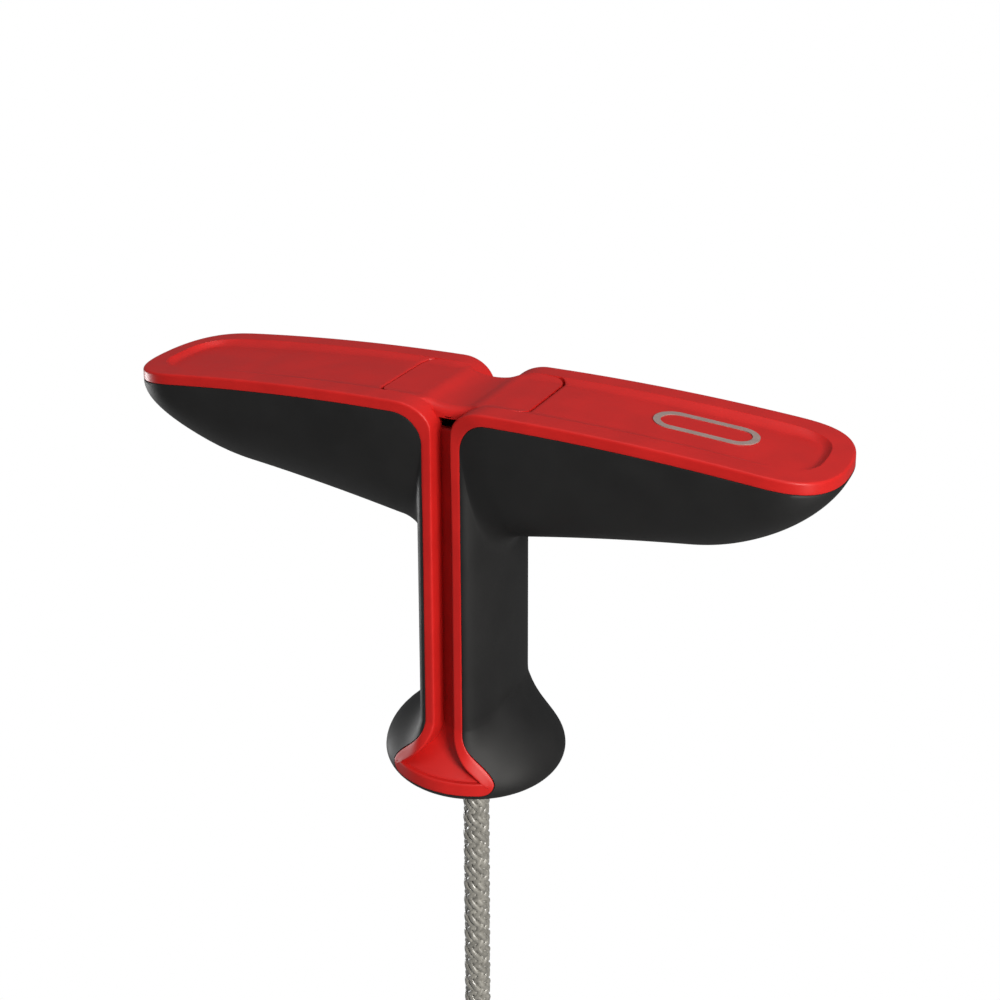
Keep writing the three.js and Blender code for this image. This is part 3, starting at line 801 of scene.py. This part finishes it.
def grip_rings():
    """Sections of the right grip: in along the wing, round the crotch, down the stem and over the bell."""
    rings = []
    tip = HALF_SPAN - GRIP_TUCK
    along = [lerp(KEEL_TIP_START, tip, math.sin(a)) for a in np.linspace(np.pi / 2, 0, 46)]
    along += list(np.linspace(KEEL_TIP_START, 15, 24)[1:])
    for x in along:
        rings.append(bowed([x, crown(x) - PLATE], [x, keel_z(x)], float(half_depth(x)), KEEL_POWER))
    start = math.atan(KEEL_TAPER)
    centre_x = STEM_HALF_WIDTH + CROTCH_RADIUS
    centre_z = float(keel_z(centre_x - CROTCH_RADIUS * math.sin(start))) - CROTCH_RADIUS * math.cos(start)
    for t in np.linspace(0, 1, 40):
        a = t * np.pi / 2
        b = lerp(start, np.pi / 2, t)
        edge = [
            SHOULDER_X - (SHOULDER_X - BAND_HALF) * math.sin(a),
            SHOULDER_Z + (-PLATE - SHOULDER_Z) * math.cos(a),
        ]
        keel = [centre_x - CROTCH_RADIUS * math.sin(b), centre_z + CROTCH_RADIUS * math.cos(b)]
        depth = lerp(HALF_DEPTH, STEM_HALF_DEPTH, float(smooth(t)))
        rings.append(bowed(edge, keel, depth, lerp(KEEL_POWER, STEM_POWER, t)))
    below = centre_z - 6
    for t in np.linspace(0, 1, 10)[1:]:
        edge = [BAND_HALF, lerp(SHOULDER_Z, below, t)]
        keel = [STEM_HALF_WIDTH, lerp(centre_z, below, t)]
        rings.append(bowed(edge, keel, STEM_HALF_DEPTH, STEM_POWER))
    for z in (-38, -42, -46, -49, -51, *np.linspace(-51.5, -63, 50), *np.linspace(-63.2, FAN_FOOT, 8)):
        rings.append(bell_ring(z))
    return np.array(rings)


def build_grips():
    rings = grip_rings()
    for name, side in (("grip_right", 1), ("grip_left", -1)):
        piece = Surface().loft(rings * [side, 1, 1]).piece(name + "_skin", GRIP, 50)
        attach(piece, "handle")
        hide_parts(name)


def build_foot():
    """The ring that closes the bell, under the fan and round the rope."""
    profile = []
    for a in np.linspace(math.asin((BELL_WIDEST - FAN_FOOT + 0.03) / BELL_EDGE_RADIUS), math.pi / 2, 10):
        profile.append([BELL_RADIUS - BELL_EDGE_RADIUS + BELL_EDGE_RADIUS * math.cos(a),
                        BELL_WIDEST - BELL_EDGE_RADIUS * math.sin(a)])
    mouth = CHANNEL_RADIUS + CHANNEL_ROUND
    for a in np.linspace(0, math.pi / 2, 7):
        profile.append([mouth - CHANNEL_ROUND * math.sin(a), BELL_FOOT + CHANNEL_ROUND * (1 - math.cos(a))])
    profile += [[CHANNEL_RADIUS, -61], [4.6, -60.9], [4.8, -64.3], [11, -64.7]]
    rows = []
    for a in np.linspace(0, 2 * np.pi, FOOT_RING_POINTS, endpoint=False):
        rows.append([[r * math.cos(a), r * math.sin(a), z] for r, z in profile])
    piece = Surface().grid(rows, wrap_rows=True, wrap_columns=True).piece("bell_foot_ring", GRIP, 35)
    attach(piece, "handle")
    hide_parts("bell_cap")


# ---- rope -----------------------------------------------------------------------------------------
def frames_along(path):
    """Two unit vectors square to the path at each point, turned as little as possible."""
    tangents = np.gradient(path, axis=0)
    tangents /= np.linalg.norm(tangents, axis=1)[:, None]
    side = np.cross(tangents[0], [0.0, 1.0, 0.0])
    if np.linalg.norm(side) < 0.1:
        side = np.cross(tangents[0], [1.0, 0.0, 0.0])
    sides = []
    for tangent in tangents:
        side = side - tangent * np.dot(side, tangent)
        side /= np.linalg.norm(side)
        sides.append(side)
    sides = np.array(sides)
    return sides, np.cross(tangents, sides)


def resample(path, count):
    path = np.asarray(path, float)
    steps = np.linalg.norm(np.diff(path, axis=0), axis=1)
    distance = np.concatenate([[0], np.cumsum(steps)])
    wanted = np.linspace(0, distance[-1], count)
    return np.stack([np.interp(wanted, distance, path[:, k]) for k in range(3)], axis=1), distance[-1]


def braid(name, points, diameter):
    """A round braid on a path: strands wind both ways, and each passes over two and under two."""
    _, length = resample(points, 10)
    crossings = 2 * STRANDS_EACH_WAY
    count = max(24, int(length / BRAID_LEAD * crossings * STATIONS_PER_CROSSING))
    path, _ = resample(points, count)
    u, v = frames_along(path)
    turns = np.linspace(0, length / BRAID_LEAD, count)
    middle = diameter / 2 - BRAID_WAVE - BRAID_PROUD - STRAND_THICK
    surface = Surface()
    for way in (-1, 1):
        for k in range(STRANDS_EACH_WAY):
            phase = k / STRANDS_EACH_WAY
            angle = 2 * np.pi * (phase + way * turns)
            over = way * np.cos(np.pi * STRANDS_EACH_WAY * turns - np.pi / 4)
            radius = middle + BRAID_WAVE * over - way * BRAID_PROUD
            out = u * np.cos(angle)[:, None] + v * np.sin(angle)[:, None]
            centre = path + out * radius[:, None]
            along = np.gradient(centre, axis=0)
            along /= np.linalg.norm(along, axis=1)[:, None]
            across = np.cross(along, out)
            ring = []
            for a in np.linspace(0, 2 * np.pi, STRAND_POINTS, endpoint=False):
                ring.append(centre + across * STRAND_WIDE * math.cos(a) + out * STRAND_THICK * math.sin(a))
            surface.loft(np.stack(ring, axis=1))
    core = []
    for a in np.linspace(0, 2 * np.pi, CORE_POINTS, endpoint=False):
        core.append(path[::4] + (u[::4] * math.cos(a) + v[::4] * math.sin(a)) * (middle - BRAID_CORE_GAP))
    surface.loft(np.stack(core, axis=1))
    piece = surface.piece(name, FIBRE, 60)
    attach(piece, "line")
    return piece


def barrel_knot(foot, turns, flip=1):
    """Route of a barrel knot: up the middle, over, and down round itself. A flip of -1 turns it over."""
    around = KNOT_ROPE - 0.05
    radius = KNOT_ROPE / 2
    top = foot + (turns + 0.5) * around
    route = [[0, 0, z] for z in np.linspace(foot, top, 8)]
    route += [[around * 0.18, 0, top + radius * 0.75], [around * 0.55, 0.1, top + radius * 1.1],
              [around * 0.92, 0.5, top + radius * 0.7]]
    for t in np.linspace(0.08, turns, int(turns * 24)):
        a = t * 2 * np.pi
        route.append([around * math.cos(a), around * math.sin(a), top - t * around])
    last = route[-1]
    route.append([last[0] * 1.04, last[1] * 1.04, last[2] - 0.4])
    fine, _ = resample(route, 160)
    for _ in range(6):
        fine[1:-1] = (fine[:-2] + 2 * fine[1:-1] + fine[2:]) / 4
    return fine * [1, flip, flip]


def straight_route(high, low, count):
    return [[0, 0, z] for z in np.linspace(high, low, count)]


def build_rope():
    exit_z = BELL_FOOT - 0.3
    route = straight_route(exit_z, ROPE_END, 24)
    run = braid("braided_rope", route, ROPE_DIAMETER)
    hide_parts("rope")
    inside = braid("rope_in_stem", straight_route(exit_z + 0.05, WASHER_TOP - 0.1, 12), STEM_ROPE)
    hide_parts("rope_inside")
    upper = braid("stopper_knot", barrel_knot(WASHER_TOP, 1.25), KNOT_ROPE)
    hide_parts("rope_knot")
    lower_route = barrel_knot(0.0, 1.6, flip=-1) + [0, 0, ROPE_END + 0.3]
    lower = braid("far_knot", lower_route, KNOT_ROPE)
    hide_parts("rope_end_knot")


# ---- studio ---------------------------------------------------------------------------------------
CAMERA_TURN = 25.5536  # degrees round from the front toward the right
CAMERA_RISE = 13.8080  # degrees above the level
CAMERA_ROLL = -0.003
CAMERA_PLACE = (103.41, -207.22, 82.0)
CAMERA_LENS = 55.71


def area_light(name, position, target, size, power, color=(1, 1, 1)):
    data = bpy.data.lights.new(name, "AREA")
    data.shape = "RECTANGLE"
    data.size, data.size_y = size
    data.energy = power
    data.color = color
    lamp = bpy.data.objects.new(name, data)
    away = np.array(position, float) - np.array(target, float)
    away /= np.linalg.norm(away)
    side = np.cross([0, 0, 1.0], away)
    side /= np.linalg.norm(side)
    up = np.cross(away, side)
    lamp.matrix_world = Matrix([
        [side[0], up[0], away[0], position[0]],
        [side[1], up[1], away[1], position[1]],
        [side[2], up[2], away[2], position[2]],
        [0, 0, 0, 1],
    ])
    bpy.context.scene.collection.objects.link(lamp)


def build_world():
    """A pale sky, brightest overhead."""
    scene = bpy.context.scene
    scene.view_settings.view_transform = "Standard"
    world = bpy.data.worlds.new("studio")
    world.use_nodes = True
    nodes, links = world.node_tree.nodes, world.node_tree.links
    where = nodes.new("ShaderNodeTexCoord")
    split = nodes.new("ShaderNodeSeparateXYZ")
    height = nodes.new("ShaderNodeMapRange")
    height.interpolation_type = "SMOOTHSTEP"
    height.inputs["From Min"].default_value = 0.35
    height.inputs["From Max"].default_value = 0.95
    height.inputs["To Min"].default_value = 0.14
    height.inputs["To Max"].default_value = 0.42
    links.new(where.outputs["Generated"], split.inputs["Vector"])
    links.new(split.outputs["Z"], height.inputs["Value"])
    links.new(height.outputs["Result"], nodes["Background"].inputs["Strength"])
    nodes["Background"].inputs["Color"].default_value = (0.95, 0.975, 1.0, 1)
    scene.world = world


def build_floor():
    """A floor that stays plain white in view and sends back only a little light."""
    material = bpy.data.materials.new("floor")
    material.use_nodes = True
    nodes, links = material.node_tree.nodes, material.node_tree.links
    shader = nodes["Principled BSDF"]
    shader.inputs["Base Color"].default_value = (0.34, 0.34, 0.34, 1)
    shader.inputs["Roughness"].default_value = 0.9
    glow = nodes.new("ShaderNodeEmission")
    rays = nodes.new("ShaderNodeLightPath")
    mix = nodes.new("ShaderNodeMixShader")
    links.new(rays.outputs["Is Camera Ray"], mix.inputs["Fac"])
    links.new(shader.outputs["BSDF"], mix.inputs[1])
    links.new(glow.outputs["Emission"], mix.inputs[2])
    links.new(mix.outputs["Shader"], nodes["Material Output"].inputs["Surface"])
    bpy.ops.mesh.primitive_plane_add(size=40, location=(0, 0, -0.6))
    floor = bpy.context.object
    floor.name = "floor"
    floor.data.materials.append(material)


def build_lights():
    """Soft boxes, each with its place, what it points at, its size and its watts."""
    warm = (1.0, 0.97, 0.92)
    area_light("key", (0.68, -0.50, 0.37), (0.02, 0, -0.01), (0.28, 0.28), 8.7, warm)
    area_light("low_right", (0.66, -0.30, -0.10), (0.03, 0, -0.03), (0.30, 0.30), 1.1, warm)
    area_light("top", (0.05, -0.1, 0.95), (0, 0, 0), (0.7, 0.5), 1.9)
    area_light("left_rim", (-0.75, 0.10, -0.24), (-0.05, 0, 0), (0.15, 0.22), 2.3)


def build_camera():
    """A view from the right front and a little above the bar."""
    turn, rise = math.radians(CAMERA_TURN), math.radians(CAMERA_RISE)
    level = np.array([math.cos(turn), math.sin(turn), 0.0])
    back = np.array([math.sin(turn) * math.cos(rise), -math.cos(turn) * math.cos(rise), math.sin(rise)])
    upright = np.cross(back, level)
    right = level * math.cos(CAMERA_ROLL) + upright * math.sin(CAMERA_ROLL)
    up = upright * math.cos(CAMERA_ROLL) - level * math.sin(CAMERA_ROLL)
    x, y, z = place(CAMERA_PLACE)
    data = bpy.data.cameras.new("camera")
    data.sensor_width = 36
    data.lens = CAMERA_LENS
    data.shift_x = 0.0022
    data.shift_y = -0.2713
    data.clip_start = 0.01
    camera = bpy.data.objects.new("camera", data)
    camera.matrix_world = Matrix([
        [right[0], up[0], back[0], x],
        [right[1], up[1], back[1], y],
        [right[2], up[2], back[2], z],
        [0, 0, 0, 1],
    ])
    bpy.context.scene.collection.objects.link(camera)
    bpy.context.scene.camera = camera


def finish_cad_nodes():
    """The small pieces whose shape is already right only take their material."""
    for node, material in (("panel_mark", INLAY), ("knot_washer", STEEL)):
        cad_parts[node].material_slots[0].material = material


build_camera()
build_rope()
build_frame()
build_cover()
build_grips()
build_foot()
finish_cad_nodes()
build_world()
build_floor()
build_lights()
